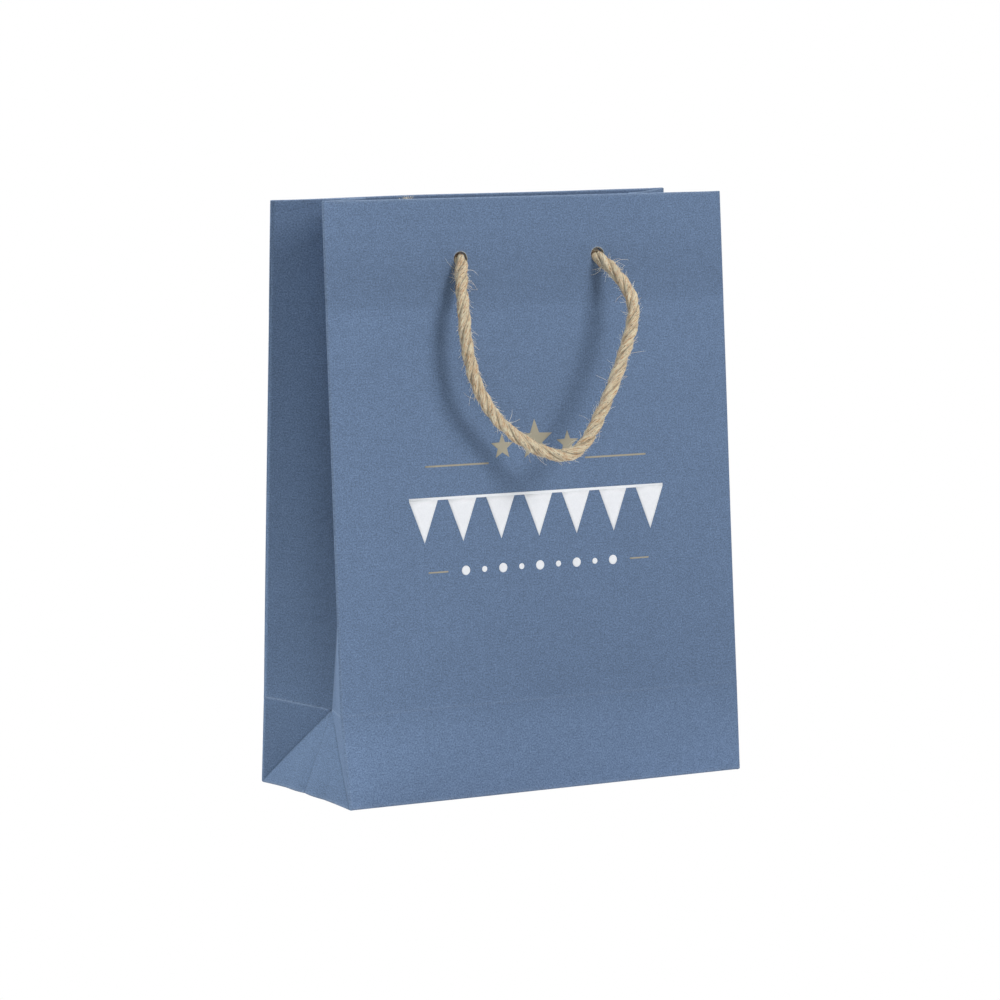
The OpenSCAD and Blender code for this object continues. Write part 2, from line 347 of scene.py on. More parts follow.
def jute_material(name):
    """Jute: pale and brown fibres that run along the strands, with painted shade in the grooves between
    them.
    """
    s = Shader(name, roughness=0.55, specular=0.5)
    lay = s.attribute("lay", vector=True)
    bundles = s.noise(s.scaled(lay, (1.3, 1.3, 0.22)), 1.0, detail=3.0, roughness=0.7)
    threads = s.noise(s.scaled(lay, (2.6, 2.6, 0.36)), 1.0, detail=3.0, roughness=0.75)
    patches = s.noise(s.scaled(lay, (0.3, 0.3, 0.16)), 1.0, detail=2.0)
    specks = s.noise(s.scaled(lay, (2.0, 2.0, 0.7)), 1.2, detail=2.0)
    base = s.mix(s.remap(threads, 0.40, 0.52), linear(212, 160, 108), linear(255, 244, 214))
    base = s.mix(s.remap(bundles, 0.38, 0.6, 0.3, 0.0), base, linear(232, 198, 154))
    base = s.mix(s.remap(patches, 0.45, 0.7, 0.0, 0.2), base, linear(234, 200, 156))
    base = s.mix(s.remap(specks, 0.60, 0.68, 0.0, 0.8), base, linear(122, 88, 56))
    # painted shade: dark brown in the grooves and on the rope's ends inside the holes, broken up by
    # patches
    broken_groove_shade = s.math("MULTIPLY", s.attribute("groove"), s.remap(patches, 0.36, 0.56, 0.85, 0.3))
    base = s.mix(broken_groove_shade, base, linear(104, 74, 46))
    return s.finish(base, s.math("ADD", bundles, threads), depth=1.0)


def fibre_material(name):
    """Single fibres of jute, paler than the rope and browner here and there."""
    s = Shader(name, roughness=0.6, specular=0.4)
    kinds = s.noise(s.scaled(s.attribute("lay", vector=True), (3.0, 0.4, 0.1)), 1.3, detail=2.0)
    base = s.mix(s.remap(kinds, 0.35, 0.55), linear(224, 198, 158), linear(255, 250, 234))
    return s.finish(base, kinds, depth=0.02)


def ink_material(name, colour):
    """Matt screen ink on uncoated paper: nearly flat, with the paper's grain showing through."""
    s = Shader(name, roughness=0.75, specular=0.3)
    flat = s.attribute("flat", vector=True)
    grain = s.noise(flat, 2.1, detail=3.0, roughness=0.7)
    film = s.remap(s.noise(flat, 0.4, detail=2.0), 0.3, 0.7, 0.98, 1.01)
    tone = s.math("MULTIPLY", s.remap(grain, 0.3, 0.7, 0.96, 1.03), film)
    return s.finish(s.times(colour, tone), grain, depth=0.03)


blue_paper = paper_material("blue_paper", linear(100, 120, 149), linear(160, 174, 194))
white_paper = paper_material(
    "white_paper_inside", linear(216, 214, 206), linear(228, 227, 222), grain=0.05
)
card_board = board_material("card_board", linear(196, 188, 170), linear(150, 138, 116))
grey_board = board_material("grey_board", linear(168, 164, 156), linear(120, 112, 104))
jute = jute_material("jute")
jute_pale = fibre_material("jute_fibres")
white_ink = ink_material("white_ink", linear(236, 237, 241))
gold_ink = ink_material("gold_ink", linear(162, 155, 137))


# ---------- How the paper has settled ----------

# How far the paper gives way, in millimetres. A pair is for the left and the right end.
BASE_DRIFT = (-2.2, 0.6)  # the front edge of the base, positive inward
CREASE_DRIFT = (1.7, -0.5)  # the same at the crease
SPLAY = 1.9  # the rear left fold, outward
FRONT_BOW = 0.5  # middle of the front panel, outward
REAR_BOW = 0.7
WANDER = 0.3  # slow waves in the panels
GUSSET_WANDER = 0.5
GUSSET_BOW = 0.4  # middle of a gusset, outward
CORNER_OUT = 0.6  # the front panel's top left corner, outward
BASE_LIFT = 1.1  # the base's left end, above the ground
BASE_TILT = 0.5  # half of what its rear corner is above its front
REAR_DIP = 0.8  # the rear panel's top left corner, downward
REAR_RISE = 0.4  # its top right corner, upward
GUSSET_DIP = 1.0  # the right gusset's centre at the mouth, downward


def ripple(points, length, phase):
    """A smooth wander between -1 and 1 with waves of about the given length."""
    x, y, z = (points / length).T
    return (
        np.sin(5.1 * x + 2.3 * z + phase)
        + np.sin(3.7 * z - 2.9 * x + 1.7 * y + 2.1 * phase)
        + np.sin(4.3 * z + 3.1 * y - 0.8 * phase)
    ) / 3


def settle(points):
    """Points moved as real paper gives way: splayed corners, a bowed panel, a lifted base edge."""
    points = np.asarray(points, float)
    x, y, z = points.T
    left = np.clip(0.5 - x / (2 * HALF_W), 0, 1)
    up = np.clip(z / CREASE_Z, 0, 1)
    rise = np.clip((z - CREASE_Z) / (MOUTH_Z - CREASE_Z), 0, 1)
    depth = np.interp(z, [0, CREASE_Z, MOUTH_Z], [HALF_D, -CREASE_Y, -MOUTH_Y])
    side = np.clip(y / depth, -1, 1)  # -1 on the front, 1 on the rear
    front, rear, middle = np.clip(-side, 0, 1), np.clip(side, 0, 1), 1 - np.abs(side)
    centre = 1 - side**2
    calm = 1 - step_between(0.8, 1.0, rise)
    left_end, right_end = step_between(20, 92, -x), step_between(20, 92, x)

    at_base, at_crease = (left * a + (1 - left) * b for a, b in (BASE_DRIFT, CREASE_DRIFT))
    drift = np.where(z < CREASE_Z, at_base * (1 - up) + at_crease * up, at_crease * (1 - rise))
    bow = np.sin(math.pi * rise) * np.cos(0.5 * math.pi * np.clip(x / HALF_W, -1, 1))
    wander = WANDER * (ripple(points, 120, 0.4) * calm)
    dy = front * (drift - FRONT_BOW * bow + wander) + rear * (REAR_BOW * bow - 0.4 * drift - wander)
    dy += rear * left**2 * up * SPLAY

    swing = GUSSET_WANDER * ripple(points, 90, 2.0) - GUSSET_BOW * np.sin(math.pi * rise)
    near_side = np.clip(np.abs(x) / HALF_W * 4 - 3, 0, 1)
    dx = np.sign(-x) * middle * swing * calm * near_side
    dx -= CORNER_OUT * front * rise * step_between(50, 92, -x)

    dz = (1 - up) * step_between(30, 92, -x) * (BASE_LIFT * centre + BASE_TILT * (1 + side))
    dz -= REAR_DIP * rear * rise**2 * left_end
    dz += (REAR_RISE * rear - GUSSET_DIP * centre) * rise**6 * right_end
    return points + np.stack([dx, dy, dz], axis=1)


# ---------- Front and rear sheets: strip, panel, mouth edge and turned-in paper in one ----------

CORNER_R = 0.6  # radius of the folded side corners
EDGE_X = HALF_W - CORNER_R  # the flat part ends here
CARD_LIP = CARD_GAP / 2
LIP_START = TOP - CARD_LIP  # along the sheet, in millimetres from the crease
LIP_END = LIP_START + math.pi * CARD_LIP
LIP_MIDDLE = (LIP_START + LIP_END) / 2
LIP_RUN = 4.0  # below the mouth edge, where a sheet makes up for a smaller radius on it
STRIP_END = -(HALF_D - 1.0)
CURL = 0.5  # radius of the fold at the base
CURL_LENGTH = 0.8
SHEET_START = STRIP_END - CURL_LENGTH
SHEET_END = LIP_END + TURN_IN
STEP_START = TURN_EDGE - 2.4  # the turned-in edge shows on the outside from here
STEP_END = TURN_EDGE - 1.2  # up to here


def corner_turn(v):
    """How far the paper turns at the left corner to head for the gusset's centre, and its end there."""
    share = np.clip(v / PANEL_LEN, 0, 1)
    lean = np.where(v < 0, STRIP_LEAN, PANEL_LEAN)
    centre_y = CREASE_Y + v * np.sin(lean) + CORNER_R
    centre = np.stack([np.full_like(v, -EDGE_X), centre_y, CREASE_Z + v * np.cos(lean)], axis=1)
    level = CREASE_Y + share * PANEL_LEN * math.sin(PANEL_LEAN) + CORNER_R
    middle = APEX + share[:, None] * (MOUTH_MID - APEX)
    turn = np.full_like(v, math.radians(120))
    for _ in range(6):  # settles on the turn that aims at the centre
        end_x = -EDGE_X - CORNER_R * np.sin(turn)
        end_y = level - CORNER_R * np.cos(turn)
        turn = math.pi - np.arctan2(middle[:, 1] - end_y, middle[:, 0] - end_x)
    end = centre + CORNER_R * np.stack([-np.sin(turn), -np.cos(turn), np.zeros_like(v)], axis=1)
    return turn, end


def lip_radius(x):
    """Half of the gap between the panel and its turned-in layer, which closes towards the corners."""
    return np.interp(np.abs(x), [CARD_EDGE, CARD_EDGE + 4, EDGE_X], [CARD_LIP, 0.35, CORNER_GAP / 2])


def over_lip(s, radius):
    """Height v, depth and turn of a sheet that goes up, over the mouth edge and down inside."""
    turn = np.clip((s - LIP_START) / (LIP_END - LIP_START), 0, 1) * math.pi
    spare = (CARD_LIP - radius) * np.clip((s - LIP_START + LIP_RUN) / LIP_RUN, 0, 1)
    v = np.where(s <= LIP_START, s + spare, TOP - radius + radius * np.sin(turn))
    v = np.where(s > LIP_END, TOP - radius - (s - LIP_END), v)
    depth = np.where(s > LIP_START, radius * (1 - np.cos(turn)), 0)
    return v, depth, turn


def panel_surface(x, s, lift=0.0):
    """Points on the front sheet. x runs across it and, past the flat part, from 0 to 1 round a corner.

    s runs up the sheet from the crease. Lift moves a point out of the sheet, towards the viewer.
    """
    x, s = np.asarray(x, float), np.asarray(s, float)
    radius = lip_radius(x)
    v, depth, round_lip = over_lip(s, radius)
    on_curl = s < STRIP_END
    round_curl = np.clip((STRIP_END - s) / CURL_LENGTH, 0, 1) * math.pi / 2
    v = np.where(on_curl, STRIP_END - CURL * np.sin(round_curl), v)
    depth = np.where(on_curl, np.minimum(CURL, 1.6 * radius) * (1 - np.cos(round_curl)), depth)
    depth = depth - lift * np.where(s > LIP_START, np.cos(round_lip), 1)

    lean = np.where(v < 0, STRIP_LEAN, PANEL_LEAN)
    flat_x = np.clip(x, -EDGE_X, EDGE_X)
    turn, _ = corner_turn(np.maximum(v, 0))
    angle = np.clip(np.abs(x) - EDGE_X, 0, 1) * turn
    ahead = np.cos(angle)
    aside = -np.sign(x) * np.sin(angle)
    normal = np.stack([aside, ahead * np.cos(lean), -ahead * np.sin(lean)], axis=1)
    straight = np.stack([np.zeros_like(lean), np.cos(lean), -np.sin(lean)], axis=1)
    point = np.stack([flat_x, CREASE_Y + v * np.sin(lean), CREASE_Z + v * np.cos(lean)], axis=1)
    return point + CORNER_R * (straight - normal) + depth[:, None] * normal


def nearest(numbers, value):
    """Index of the number closest to the value."""
    return int(np.argmin(np.abs(np.array(numbers) - value)))


def punched_grid(xs, ss, holes):
    """Points and faces of a grid, with a round hole inside a square of its cells at each place."""
    points = [(x, s) for s in ss for x in xs]
    wide = len(xs)
    faces, rims, left_out = [], [], set()
    for hole_x, hole_s in holes:
        i0, i1 = nearest(xs, hole_x - HOLE_SQUARE), nearest(xs, hole_x + HOLE_SQUARE)
        j0, j1 = nearest(ss, hole_s - HOLE_SQUARE), nearest(ss, hole_s + HOLE_SQUARE)
        left_out |= {(i, j) for i in range(i0, i1) for j in range(j0, j1)}
        loop = [(i, j0) for i in range(i0, i1)] + [(i1, j) for j in range(j0, j1)]
        loop += [(i, j1) for i in range(i1, i0, -1)] + [(i0, j) for j in range(j1, j0, -1)]
        before = [j * wide + i for i, j in loop]
        square = [points[k] for k in before]
        for share in (0.35, 0.65, 0.85, 0.96, 1.0):  # rings from the square in to the rim
            ring = list(range(len(points), len(points) + len(square)))
            for x, s in square:
                angle = math.atan2(s - hole_s, x - hole_x)
                round_x, round_s = hole_x + HOLE_R * math.cos(angle), hole_s + HOLE_R * math.sin(angle)
                points.append((x + (round_x - x) * share, s + (round_s - s) * share))
            faces += ring_faces(before, ring)
            before = ring
        rims += before
    return np.array(points), faces + grid_faces(wide, len(ss), left_out), rims


def spread(start, *stretches):
    """Numbers from the start on. Each stretch is the place where it ends and its count of even steps."""
    numbers = []
    for end, count in stretches:
        numbers += list(np.linspace(start, end, count, endpoint=False))
        start = end
    return numbers + [start]


def panel_light_and_shade(x, s):
    """Painted shade over the turned-in paper's edge, and painted light below it, on the strip and along
    the left corner.
    """
    from_edge = s - TURN_EDGE
    shade_over_edge = 0.22 * band(from_edge - 10, 14) * step_between(-1, 1, from_edge)
    light_under_edge = 0.1 * np.exp(np.minimum(from_edge, 0) / 16) * step_between(1, -1, from_edge)
    from_left = x + HALF_W
    # painted light along the left corner, most near its top
    left = 0.11 * np.exp(-from_left / 25) + 0.16 * band(from_left, 18) * band(s - TOP, 15)
    # painted light on the strip, more towards its bottom and towards the right
    strip = 0.4 * step_between(5, -14, s) + 0.2 * step_between(-10, STRIP_END, s) * (1 + x / HALF_W)
    return (shade_over_edge - light_under_edge - left - strip) * (s < LIP_START)


def add_panel_sheet(side, flip):
    """Strip, panel, mouth edge and turned-in paper, with each hole punched through both layers."""
    inner, outer = HOLE_X - HOLE_SQUARE, HOLE_X + HOLE_SQUARE
    half = spread(0, (inner, 7), (outer, 8), (84, 12), (90.5, 4), (EDGE_X, 3))
    half += [EDGE_X + share / 6 for share in range(1, 7)]
    xs = [-x for x in reversed(half[1:])] + half
    inner_hole = LIP_END + TOP - CARD_LIP - HOLE_V
    ss = spread(
        SHEET_START, (STRIP_END, 4), (STRIP_END + 1.2, 3),
        (-2.4, 9), (-0.4, 3), (0.4, 4), (2.4, 3), (STEP_START, 30), (STEP_END, 4),
        (HOLE_V - HOLE_SQUARE, 5), (HOLE_V + HOLE_SQUARE, 8), (LIP_START - 1, 5), (LIP_START, 2),
        (LIP_END, 8), (inner_hole - HOLE_SQUARE, 5), (inner_hole + HOLE_SQUARE, 8), (SHEET_END, 5),
    )
    holes = [(x, s) for x in (-HOLE_X, HOLE_X) for s in (HOLE_V, inner_hole)]
    grid, faces, rims = punched_grid(xs, ss, holes)
    x, s = grid.T
    cut = np.zeros(len(grid))
    cut[rims] = 1
    off_rim = np.hypot(np.abs(x) - HOLE_X, s - HOLE_V) - HOLE_R
    wear = np.maximum.reduce([
        0.10 * band(s, 0.35),
        0.35 * band(s - LIP_MIDDLE, 0.9),
        0.14 * band(np.abs(x) - EDGE_X - 0.4, 0.35),
        0.2 * band(s - STRIP_END, 0.5),
        # painted highlight on each hole's upper rim, where light falls from above
        0.6 * band(off_rim, 0.35) * step_between(-1, 2, s - HOLE_V),
    ])
    # the crease stands out as a faint ridge, and the turned-in paper's edge shows through
    turned_in = step_between(STEP_START, STEP_END, s) * (s < LIP_START)
    relief = 0.12 * band(s, 0.6) + 0.08 * turned_in * step_between(LIP_START, LIP_START - 20, s)
    points = panel_surface(x, s) - np.outer(relief, [0, 1, 0])
    return new_piece(
        side + "_sheet", settle(mirrored(points, False, flip)), turned(faces, flip),
        wear=wear, shade=panel_light_and_shade(x, s), cut=cut,
        flat=np.stack([x, s, np.full_like(x, 40 if flip else 0)], axis=1),
    )


for side, flip in (("front", False), ("rear", True)):
    sheet = add_panel_sheet(side, flip)
    thicken(sheet, PAPER, blue_paper, white_paper)
    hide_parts(side + "_lower_strip", side + "_panel", side + "_turn_in")
    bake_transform(sheet)


# ---------- Gussets above the crease ----------

FOLD_R = 0.7  # radius of the gusset's centre fold
CORNER_U = 0.12  # beside the corner, where the gap has closed
TUCK = 0.45  # how far the lowest edge slips behind the foot


def gusset_surface(u, s):
    """Points on the left gusset's front half. u runs from the corner (0) to the centre fold (1 to 2).

    s runs up the sheet as on the panel, over the mouth edge and down inside.
    """
    radius = np.interp(u, [0, CORNER_U, 2], [CORNER_GAP / 2, GUSSET_GAP / 2, GUSSET_GAP / 2])
    v, depth, _ = over_lip(s, radius)
    depth = depth + TUCK * np.clip(-s / 0.6, 0, 1)

    _, start = corner_turn(np.maximum(v, 0))
    start[:, 2] += np.minimum(v, 0)
    middle = APEX + (v / PANEL_LEN)[:, None] * (MOUTH_MID - APEX)
    way = middle[:, :2] - start[:, :2]
    angle = np.arctan2(way[:, 0], way[:, 1])  # between the way in and +Y

    def on_fold(turn):
        fold_x = middle[:, 0] - FOLD_R + FOLD_R * np.cos(turn)
        return np.stack([fold_x, -FOLD_R * np.sin(turn), middle[:, 2]], axis=1)

    flat = start + (on_fold(angle) - start) * np.clip(u, 0, 1)[:, None]
    left = angle * np.clip(2 - u, 0, 1)  # what is left of the angle on the fold
    point = np.where((u > 1)[:, None], on_fold(left), flat)
    left = np.where(u > 1, left, angle)
    normal = np.stack([np.cos(left), -np.sin(left), np.zeros_like(left)], axis=1)
    return point + depth[:, None] * normal


def add_gusset_half(side, end, flip_x, flip_y):
    """One of the four gusset halves above the crease, with its turned-in paper."""
    us = spread(0, (CORNER_U, 3), (0.94, 14), (1, 2), (2, 4))
    ss = spread(
        -1.6, (-0.4, 3), (0.4, 4), (2.4, 3), (LIP_START - LIP_RUN, 44), (LIP_START, 4), (LIP_END, 8),
        (SHEET_END, 14),
    )
    u, s = np.array([(u, s) for s in ss for u in us]).T
    points = gusset_surface(u, s)
    wear = np.maximum.reduce([
        band(s, 0.3) * (0.25 + 0.3 * band(u - CORNER_U, 0.4) * flip_y),
        0.35 * band(s - LIP_MIDDLE, 0.9),
        0.5 * np.clip(u - 1, 0, 1),
    ])
    # painted shade in the hollow towards the centre fold, deepest at mid-height
    hollow_shade = 0.35 + 0.4 * np.sin(math.pi * np.clip(s / TOP, 0, 1))
    return new_piece(
        f"{side}_gusset_{end}_sheet", settle(mirrored(points, flip_x, flip_y)),
        turned(grid_faces(len(us), len(ss)), flip_x == flip_y),
        wear=wear, shade=hollow_shade * step_between(0.25, 1.0, u) * (s < LIP_START),
        flat=np.stack([100 + u * 36, s, np.full_like(u, 20 * flip_x + 60 * flip_y)], axis=1),
    )


panel_normal = np.array([0, -math.cos(PANEL_LEAN), math.sin(PANEL_LEAN)])
for side, flip_x in (("left", False), ("right", True)):
    for end, flip_y in (("front", False), ("rear", True)):
        half = add_gusset_half(side, end, flip_x, flip_y)
        thicken(half, PAPER, blue_paper, white_paper)
        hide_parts(f"{side}_gusset_{end}", f"{side}_turn_in_{end}")
        start = np.array([0, 0, MOUTH_Z])
        stop = start + 21.5 * mirrored(panel_normal, False, flip_y)
        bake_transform(half)


# ---------- Gusset feet: the bottom triangle and the two facets beside it ----------

FOOT_CELLS = 40  # from the middle of the foot to its side


def add_foot(side, flip_x):
    """The gusset below its crease, folded along two lines from the base corners to the apex."""
    _, ends = corner_turn(np.array([STRIP_END, 0.0]))
    to_rear = [1, -1, 1]
    base_front, crease_front = ends[0] * [1, 1, 0] + [0, 0, 0.7], ends[1]
    base = {"front": base_front, "rear": base_front * to_rear}
    crease = {"front": crease_front, "rear": crease_front * to_rear}
    n = FOOT_CELLS
    layer = 80 + 20 * flip_x
    points, wear, shade, flat = [], [], [], []
    for j in range(n + 1):
        for i in range(-n, n + 1):
            across, high = i / n, j / n
            end = "front" if across < 0 else "rear"
            apex_share = 1 - abs(across)
            if high <= apex_share:  # in the bottom triangle
                along = 0.5 + 0.5 * across / (1 - high) if high < 1 else 0.5
                edge = base["front"] + (base["rear"] - base["front"]) * along
                point = edge * (1 - high) + APEX * high
            else:
                base_share = 1 - high
                rest = 1 - apex_share - base_share
                point = base[end] * base_share + crease[end] * rest + APEX * apex_share
            inside = max(apex_share - high, 0)
            off_fold = abs(high - apex_share) * HALF_D * 0.7
            off_base, off_top = high * HALF_D, (1 - high) * HALF_D
            off_middle = abs(across) * HALF_D
            off_apex = math.hypot(off_middle, off_top)
            # the paper is a little crumpled round the apex, and the triangle bulges beside its middle
            crumple = 0.35 * band(off_apex, 9)
            bulge = 0.9 * inside * math.sin(math.pi * min(off_middle / 16, 1)) * (1 - high)
            dx = crumple * math.sin(1.1 * off_top + 0.9 * across * HALF_D) - bulge
            points.append(point + [dx, 0, 0.4 * crumple * math.sin(0.8 * off_middle + 1.7)])
            wear.append(max(
                0.25 * band(off_top, 0.5), 0.25 * band(off_base, 0.7), 0.35 * band(off_apex, 1.5),
            ))
            # painted shade along the two folds and down the triangle's middle crease, where the valleys
            # lie in shade
            shade.append(max(0.6 * band(off_fold, 0.7), 0.35 * band(off_middle, 0.5) * (inside > 0)))
            flat.append([130 + across * HALF_D, off_base, layer])
    wide = 2 * n + 1
    faces = []
    for k, (a, b, c, d) in enumerate(grid_faces(wide, n + 1)):
        # each cell is split along the fold's own direction
        faces += [(a, b, c), (a, c, d)] if k % (2 * n) < n else [(a, b, d), (b, c, d)]
    lowest = list(range(wide))
    for inward, down in ((0.25, 0.35), (0.9, 0.45)):  # the lower edge curls under into the tuck
        ring = list(range(len(points), len(points) + wide))
        points += [point + [inward, 0, -down] for point in points[:wide]]
        flat += [[130 + k, -1 - inward, layer] for k in range(wide)]
        wear += [0.2] * wide
        # painted shade on the edge that curls under
        shade += [0.2] * wide
        faces += [(ring[k], ring[k + 1], lowest[k + 1], lowest[k]) for k in range(wide - 1)]
        lowest = ring
    foot = new_piece(
        side + "_foot", settle(mirrored(points, flip_x, False)), turned(faces, not flip_x),
        wear=wear, shade=shade, flat=flat,
    )
    foot.data.set_sharp_from_angle(angle=math.radians(14))
    return foot


for side, flip_x in (("left", False), ("right", True)):
    foot = add_foot(side, flip_x)
    thicken(foot, PAPER, blue_paper, white_paper)
    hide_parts(side + "_bottom_triangle", side + "_lower_front_facet", side + "_lower_rear_facet")
    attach(foot, "base")


# ---------- Base flaps, tucks and board, cards and seam flap ----------


def add_flat_sheet(name, outline, thickness, outside, inside, place, rows=24, columns=48, layer=0):
    """A flat sheet over a four-cornered outline, set in place by a function of its points."""
    a, b, c, d = (np.array(corner, float) for corner in outline)
    steps = [(i / columns, j / rows) for j in range(rows + 1) for i in range(columns + 1)]
    flat = np.array([(a * (1 - p) + b * p) * (1 - q) + (d * (1 - p) + c * p) * q for p, q in steps])
    on_edge = np.array([min(p, 1 - p, q, 1 - q) == 0 for p, q in steps])
    sheet = new_piece(
        name, place(flat), grid_faces(columns + 1, rows + 1), wear=on_edge * 0.35,
        flat=np.column_stack([flat, np.full(len(flat), layer)]),
    )
    thicken(sheet, thickness, outside, inside)
    return sheet


def rounded_rim(piece, width):
    """A small round on the cut edges of a thick sheet."""
    bevel = piece.modifiers.new("rim", "BEVEL")
    bevel.width = width * MM
    bevel.segments = 2
    bevel.limit_method = "ANGLE"
    bevel.angle_limit = math.radians(50)


def on_base(z, flip_y=False):
    """Lays (x, y) points at a height, and lets them settle with the bag."""
    return lambda flat: settle(mirrored(np.column_stack([flat, np.full(len(flat), z)]), False, flip_y))


def warped_board(flat):
    """Lays (x, y) points on the base, with the board's ends a little up."""
    points = on_base(1.95)(flat)
    points[:, 2] += 0.25 * (points[:, 0] / HALF_W) ** 2 + 0.12 * ripple(points, 100, 1.0)
    return points


def add_base():
    """The block bottom: two long flaps, two tucks and the loose board on top of them."""
    low, high = node_box("base_flap_front")
    flap = [(low[0], low[1]), (high[0], low[1]), (high[0] - HALF_D, high[1]), (low[0] + HALF_D, high[1])]
    low, high = node_box("base_tuck_left")
    tuck = [(low[0], low[1]), (high[0], -6), (high[0], 6), (low[0], high[1])]
    far_tuck = [(-x, y) for x, y in tuck]
    for node, outline, place, rows, columns, layer in (
        ("base_flap_rear", flap, on_base(0.2, True), 24, 48, 110),
        ("base_flap_front", flap, on_base(0.6), 24, 48, 120),
        ("base_tuck_left", tuck, on_base(1.0), 30, 16, 140),
        ("base_tuck_right", far_tuck, on_base(1.0), 30, 16, 150),
    ):
        piece = add_flat_sheet(
            node + "_sheet", outline, PAPER, white_paper, blue_paper, place, rows, columns, layer
        )
        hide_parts(node)
        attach(piece, "base")

    low, high = node_box("base_board")
    outline = [(low[0], low[1]), (high[0], low[1]), (high[0], high[1]), (low[0], high[1])]
    board = add_flat_sheet(
        "base_board_sheet", outline, 1.1, grey_board, grey_board, warped_board, layer=170
    )
    rounded_rim(board, 0.25)
    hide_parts("base_board")
    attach(board, "base")


def panel_points(x, v, depth):
    """Points v up the front panel from its crease, and a depth in from the middle of its paper."""
    return np.column_stack([
        x,
        CREASE_Y + v * math.sin(PANEL_LEAN) + depth * math.cos(PANEL_LEAN),
        CREASE_Z + v * math.cos(PANEL_LEAN) - depth * math.sin(PANEL_LEAN),
    ])


def on_panel(depth, flip_y):
    """Places (x, v) points on a panel, and lets them settle with the bag."""
    return lambda flat: settle(mirrored(panel_points(*flat.T, depth), False, flip_y))


def add_card(side, flip):
    """The card between the panel and its turned-in layer, with the two holes punched through it."""
    top = TOP - 0.75
    bottom = top - 41.2
    inner, outer = HOLE_X - HOLE_SQUARE, HOLE_X + HOLE_SQUARE
    xs = spread(-CARD_EDGE, (-outer, 12), (-inner, 8), (inner, 14), (outer, 8), (CARD_EDGE, 12))
    vs = spread(bottom, (HOLE_V - HOLE_SQUARE, 3), (HOLE_V + HOLE_SQUARE, 8), (top, 4))
    grid, faces, _ = punched_grid(xs, vs, [(-HOLE_X, HOLE_V), (HOLE_X, HOLE_V)])
    card = new_piece(
        side + "_card_sheet", on_panel(CARD_GAP / 2, flip)(grid), turned(faces, flip),
        flat=np.column_stack([grid, np.full(len(grid), 180 + 10 * flip)]),
    )
    thicken(card, 1.0, card_board)
    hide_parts(side + "_card")
    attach(card, side + "_panel")


def add_seam_flap():
    """The glued strip inside the rear panel."""
    low, high = node_box("side_seam_flap")
    flap = add_flat_sheet(
        "side_seam_flap_sheet", [(low[0], 6), (high[0], 8), (high[0], 162), (low[0], 164)],
        PAPER, blue_paper, white_paper, on_panel(0.32, True), rows=60, columns=6, layer=200,
    )
    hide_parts("side_seam_flap")
    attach(flap, "rear_panel")


add_base()
add_card("front", False)
add_card("rear", True)
add_seam_flap()


# ---------- Rope handles ----------


def smooth_route(points, step):
    """A smooth curve through the points, and how far along it each new point is."""
    points = np.asarray(points, float)
    padded = np.vstack([2 * points[0] - points[1], points, 2 * points[-1] - points[-2]])
    line = []
    for a, b, c, d in zip(padded, padded[1:], padded[2:], padded[3:]):
        for t in np.linspace(0, 1, 24, endpoint=False):
            square, cube = 2 * a - 5 * b + 4 * c - d, 3 * b - a - 3 * c + d
            line.append(0.5 * (2 * b + (c - a) * t + square * t**2 + cube * t**3))
    line.append(points[-1])
    line = np.array(line)
    for _ in range(12):  # soften what is left of the corners
        line[1:-1] = 0.5 * line[1:-1] + 0.25 * (line[:-2] + line[2:])
    along = np.concatenate([[0], np.cumsum(np.linalg.norm(np.diff(line, axis=0), axis=1))])
    at = np.linspace(0, along[-1], int(along[-1] / step) + 1)
    return np.stack([np.interp(at, along, line[:, k]) for k in range(3)], axis=1), at


def frames_along(line):
    """Two directions across the line at each of its points, turning as little as they can."""
    tangents = np.gradient(line, axis=0)
    tangents /= np.linalg.norm(tangents, axis=1)[:, None]
    across = [unit(np.cross(tangents[0], [0.3, 0.2, 1.0]))]
    for t in tangents[1:]:
        across.append(unit(across[-1] - t * np.dot(across[-1], t)))
    across = np.array(across)
    return across, np.cross(tangents, across)


def lobed_radius(angle, strand_r, strand_off):
    """Outline of three strands laid together, and how deep between two strands it is, for the painted
    shade there.
    """
    off = (angle + math.pi / 3) % (2 * math.pi / 3) - math.pi / 3
    within = strand_r**2 - (strand_off * np.sin(off)) ** 2
    radius = strand_off * np.cos(off) + np.sqrt(np.maximum(within, 0.01))
    return radius, np.clip((np.abs(off) - 0.8) / 0.24, 0, 1) ** 1.5


# Ridges of fibre: height, number round the rope, sway, its pace, shift from strand to strand
RIDGES = [(0.07, 11, 0.9, 0.7, 2.4), (0.06, 19, 1.3, 0.5, -1.7), (0.05, 27, 1.6, 0.9, 1.0)]


